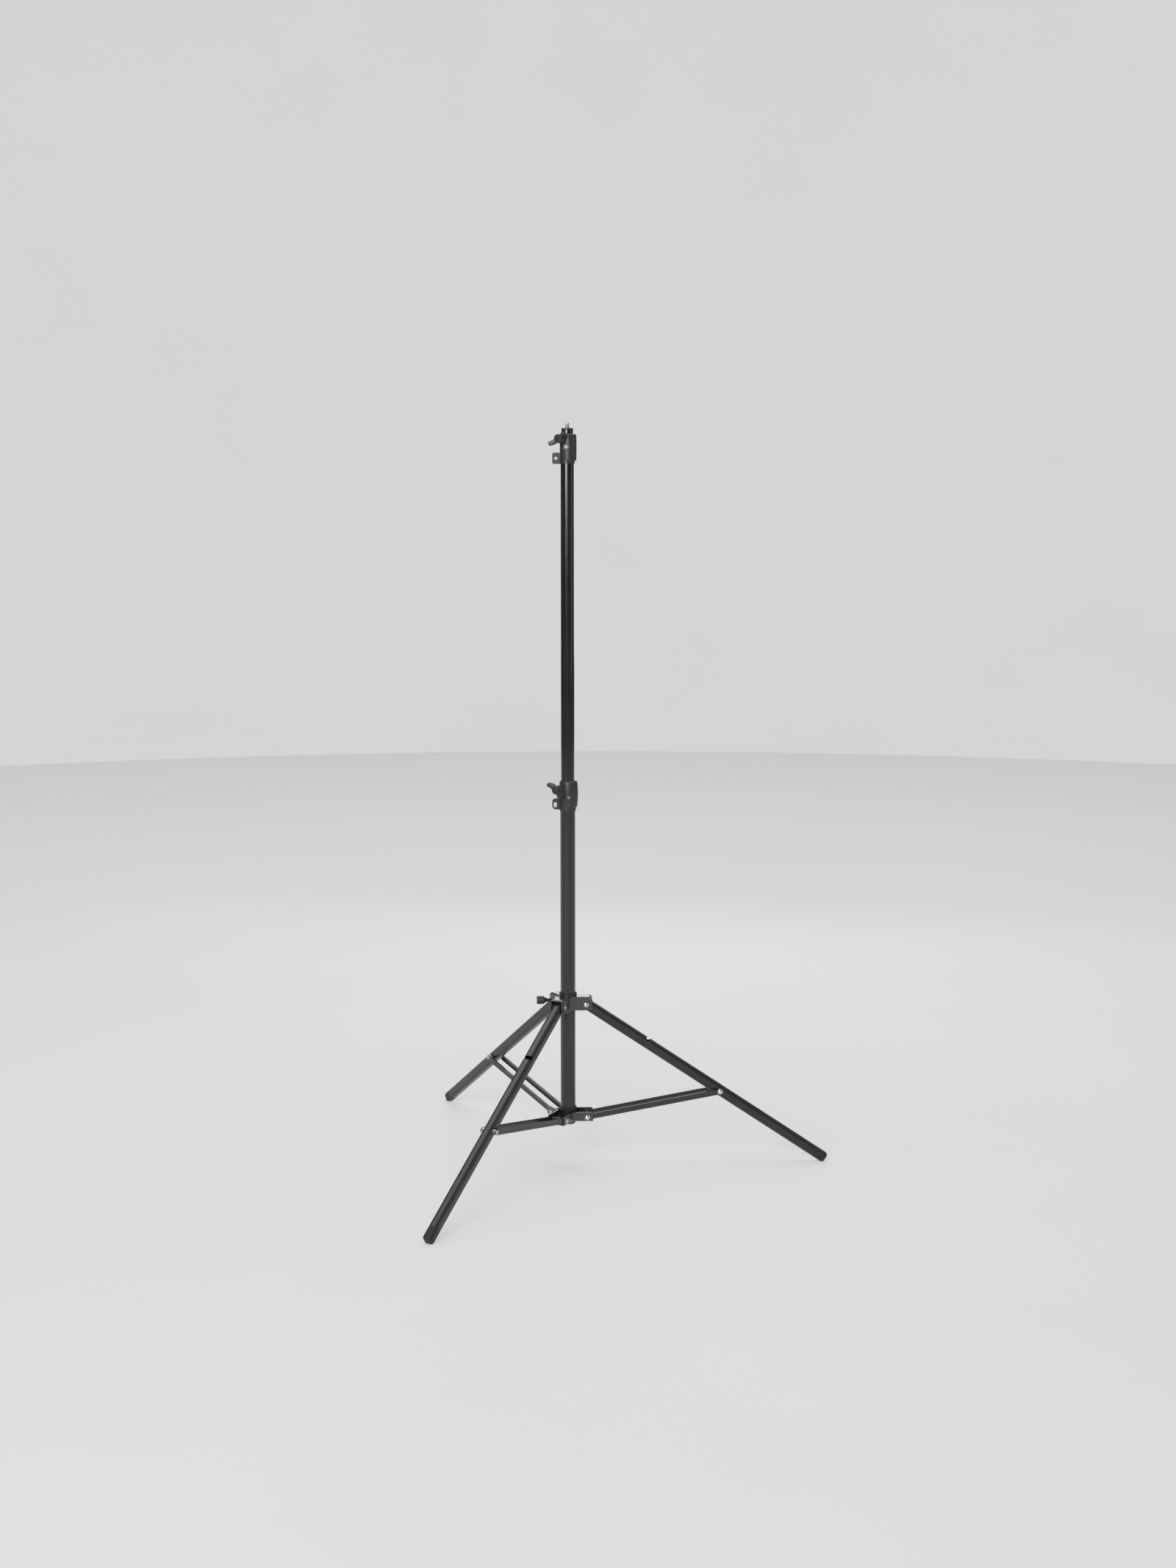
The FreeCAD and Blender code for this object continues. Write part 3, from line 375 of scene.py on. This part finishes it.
def threaded_rod(name, start, end, radius, pitch, body, slot, node):
    """A screw with a real helical thread between two points, standing for a plain CAD rod."""
    start, end = Vector(start), Vector(end)
    length = (end - start).length
    depth = THREAD_DEPTH * pitch
    rows = int(length / pitch * ROWS_PER_PITCH)
    bm = bmesh.new()
    rings = []
    for i in range(rows + 1):
        along = length * i / rows
        fade = min(1.0, min(along, length - along) / (RUN_OUT * pitch))
        ring = []
        for j in range(POINTS_AROUND):
            angle = math.tau * j / POINTS_AROUND
            phase = (along / pitch + j / POINTS_AROUND) % 1.0
            crest = min(1.0, abs(2 * phase - 1) * CREST_SLOPE)
            r = radius - depth * (1 - crest * fade)
            ring.append(bm.verts.new((r * math.cos(angle), r * math.sin(angle), along)))
        rings.append(ring)
    skin(bm, rings)
    bm.faces.new(list(reversed(rings[0])))
    bm.faces.new(rings[-1])
    obj = new_object(name, bm, MATERIALS[slot])
    obj.rotation_mode = "QUATERNION"
    obj.rotation_quaternion = (end - start).to_track_quat("Z", "Y")
    obj.location = start
    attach(obj, body)
    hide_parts(node)


def threads():
    """The stud's and the hub lock screw's threads."""
    low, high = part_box("top_stud")
    centre = middle("top_stud")
    cap_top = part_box("top_cap")[1][2]
    threaded_rod("stud_thread",
                 start=(centre.x, centre.y, cap_top - STUD_HIDDEN),
                 end=(centre.x, centre.y, high[2]),
                 radius=(high[0] - low[0]) / 2, pitch=STUD_PITCH,
                 body="third_section", slot="zinc_steel", node="top_stud")
    low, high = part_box("hub_lock_screw")
    centre = middle("hub_lock_screw")
    threaded_rod("lock_screw_thread",
                 start=(high[0], centre.y, centre.z),
                 end=(low[0], centre.y, centre.z),
                 radius=(high[2] - low[2]) / 2, pitch=LOCK_SCREW_PITCH,
                 body="hub_lock", slot="blackened_steel", node="hub_lock_screw")


# ---- Stage, light and camera -------------------------------------------------------------

STAGE_RADIUS = 8.5
STAGE_HEIGHT = 9.0
COVE_RADIUS = 2.0       # where the floor turns up into the wall
COVE_STEPS = 16
STAGE_SIDES = 96
FLOOR_PATCH = 0.5       # radius of the one face in the middle of the floor
WORLD_LIGHT = 0.12


def paper(name, colour, glow):
    """Matte studio paper with a slight mottle and an even glow of its own."""
    s = Shader(name)
    mottle = s.ramp(s.noise(scale=1.2, detail=3.0))
    s.drive("Base Color", s.mix(mottle, mixed(colour, amount=0.01), mixed(colour, amount=0.03)))
    s.set("Roughness", 0.9)
    s.set("Specular IOR Level", 0.05)
    s.set("Emission Color", (1.0, 1.0, 0.995, 1.0))
    s.set("Emission Strength", glow)
    return s.material


def turned_sheet(name, profile, material, filled=False):
    """A round stage piece from (radius, height) points, with its first ring filled or open."""
    bm = bmesh.new()
    rings = []
    for r, z in profile:
        angles = [math.tau * i / STAGE_SIDES for i in range(STAGE_SIDES)]
        rings.append([bm.verts.new((r * math.cos(a), r * math.sin(a), z)) for a in angles])
    skin(bm, rings)
    if filled:
        bm.faces.new(rings[0])
    obj = new_object(name, bm, material)
    return obj


def panel(name, place, target, width, height, watts):
    """A soft rectangular light at place, facing target."""
    light = bpy.data.lights.new(name, "AREA")
    light.shape = "RECTANGLE"
    light.size = width
    light.size_y = height
    light.energy = watts
    obj = bpy.data.objects.new(name, light)
    obj.location = place
    obj.rotation_mode = "QUATERNION"
    obj.rotation_quaternion = (Vector(target) - Vector(place)).to_track_quat("-Z", "Y")
    bpy.context.scene.collection.objects.link(obj)
    return obj


def studio():
    """A round paper floor and wall, a large key, a fill, an overhead panel and a rim panel."""
    flat = STAGE_RADIUS - COVE_RADIUS
    profile = [(flat, 0.0)]
    for i in range(1, COVE_STEPS + 1):
        angle = math.pi / 2 * i / COVE_STEPS
        profile.append((flat + COVE_RADIUS * math.sin(angle), COVE_RADIUS * (1 - math.cos(angle))))
    profile.append((STAGE_RADIUS, STAGE_HEIGHT))
    floor_paper = paper("floor_paper", colour=(0.22, 0.22, 0.22), glow=0.485)
    turned_sheet("floor", [(FLOOR_PATCH, 0.0), (flat, 0.0)], floor_paper, filled=True)
    wall_paper = paper("wall_paper", colour=(0.05, 0.05, 0.05), glow=0.63)
    wall = turned_sheet("wall", profile, wall_paper)
    wall.visible_diffuse = False
    wall.visible_glossy = False

    panel("key", place=(-1.5, -3.9, 2.35), target=(COLUMN.x, 0.0, 1.3),
          width=2.4, height=2.3, watts=170.0)
    panel("fill", place=(3.6, -1.0, 1.7), target=(COLUMN.x, 0.0, 0.6),
          width=0.7, height=2.4, watts=9.0)
    panel("top", place=(0.0, 2.2, 4.8), target=(0.0, 2.4, 0.6),
          width=6.0, height=5.0, watts=185.0)
    rim = panel("rim", place=(0.3, 2.0, 1.15), target=(COLUMN.x, 0.0, 0.3),
                width=1.7, height=0.9, watts=8.0)
    rim.visible_camera = False

    world = bpy.data.worlds.new("studio")
    world.use_nodes = True
    background = world.node_tree.nodes["Background"]
    background.inputs["Color"].default_value = (*WHITE, 1.0)
    background.inputs["Strength"].default_value = WORLD_LIGHT
    bpy.context.scene.world = world
    bpy.context.scene.view_settings.view_transform = "Standard"


def camera():
    """The camera in front of the column, a little to its left, tilted down. Angles in radians."""
    distance = 3.1671
    height = 1.0456
    bearing = 0.0189    # how far round to the left it stands
    heading = 0.0295    # how far it is turned to the right
    pitch = 0.1247      # how far it is tilted down
    data = bpy.data.cameras.new("camera")
    data.sensor_fit = "AUTO"
    data.sensor_width = 36.0
    data.lens = 44.24
    data.clip_start = 0.05
    data.clip_end = 60.0
    obj = bpy.data.objects.new("camera", data)
    stand = Vector((-distance * math.sin(bearing), -distance * math.cos(bearing), height))
    obj.location = COLUMN + stand
    obj.rotation_euler = Euler((math.pi / 2 - pitch, 0.0, -heading))
    bpy.context.scene.collection.objects.link(obj)
    bpy.context.scene.camera = obj


paint_cad_nodes()
threads()
studio()
camera()
